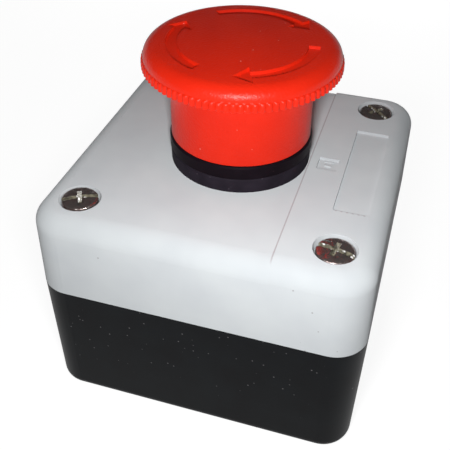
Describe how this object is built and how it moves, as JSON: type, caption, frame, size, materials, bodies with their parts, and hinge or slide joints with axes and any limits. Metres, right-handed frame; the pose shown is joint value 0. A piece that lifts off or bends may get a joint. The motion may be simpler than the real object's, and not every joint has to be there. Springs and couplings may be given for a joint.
{
  "type": "mushroom push button station",
  "caption": "Square surface-mounted control box with a red turn-to-release mushroom button on a light grey lid over a black base.",
  "frame": {"origin": "middle of the base's flat back face", "axes": "+Z along the button's axis, out of the back face; +Y towards the legend end of the lid"},
  "size_m": [0.068, 0.068, 0.0746],
  "materials": {
    "base_plastic": "moulded black ABS, fine satin grain",
    "lid_plastic": "moulded light grey ABS, fine satin grain",
    "red_plastic": "moulded red, soft gloss",
    "collar_plastic": "moulded black nylon",
    "seal_rubber": "matt black rubber",
    "screw_nickel": "nickel plated, bright",
    "zinc_steel": "zinc plated",
    "spring_steel": "drawn spring wire",
    "contact_brass": "plain",
    "stem_nylon": "natural nylon",
    "plunger_nylon": "red nylon, marks an opening contact",
    "block_plastic": "moulded grey"
  },
  "bodies": {
    "station": {"base_box": "base_plastic", "lid": "lid_plastic", "lid_gasket": "seal_rubber", "lid_screws": "screw_nickel", "bezel_gasket": "seal_rubber", "operator_body": "collar_plastic", "stem_seal": "seal_rubber", "ring_nut": "collar_plastic", "return_spring": "spring_steel", "latch_springs": "spring_steel", "contact_holder": "collar_plastic", "clamp_screws": "zinc_steel", "block_screws": "zinc_steel", "contact_housing": "block_plastic", "contact_cover": "block_plastic", "contact_spring": "spring_steel", "fixed_contact_left": "contact_brass", "fixed_contact_right": "contact_brass", "terminal_clamps": "zinc_steel", "terminal_screws": "zinc_steel"},
    "stem": {"stem": "stem_nylon", "twist_spring": "spring_steel"},
    "head": {"mushroom_head": "red_plastic", "head_clip": "spring_steel"},
    "latch_near": {"latch_pin_near": "spring_steel"},
    "latch_far": {"latch_pin_far": "spring_steel"},
    "contact_carriage": {"contact_plunger": "plunger_nylon", "contact_bridge": "contact_brass"}
  },
  "joints": [
    {"name": "head_press", "type": "slide", "parent": "station", "child": "stem", "axis": [0, 0, 1], "range_m": [0, 0.0045], "deforming": ["return_spring"]},
    {"name": "head_twist", "type": "hinge", "parent": "stem", "child": "head", "pos_m": [0, 0, 0.065], "axis": [0, 0, 1], "range_deg": [-45, 0], "stiffness_Nm_per_rad": 0.03},
    {"name": "contact_travel", "type": "slide", "parent": "station", "child": "contact_carriage", "axis": [0, 0, 1], "range_m": [0, 0.0045], "deforming": ["contact_spring"]},
    {"name": "latch_near_slide", "type": "slide", "parent": "station", "child": "latch_near", "axis": [1, 0, 0], "range_m": [0, 0.0009], "deforming": ["latch_springs"]},
    {"name": "latch_far_slide", "type": "slide", "parent": "station", "child": "latch_far", "axis": [-1, 0, 0], "range_m": [0, 0.0009]}
  ],
  "couplings": [
    {"joint": "contact_travel", "follows": "head_press", "ratio": 1},
    {"joint": "latch_near_slide", "follows": "head_press", "ratio": 0.2},
    {"joint": "latch_far_slide", "follows": "head_press", "ratio": 0.2}
  ]
}
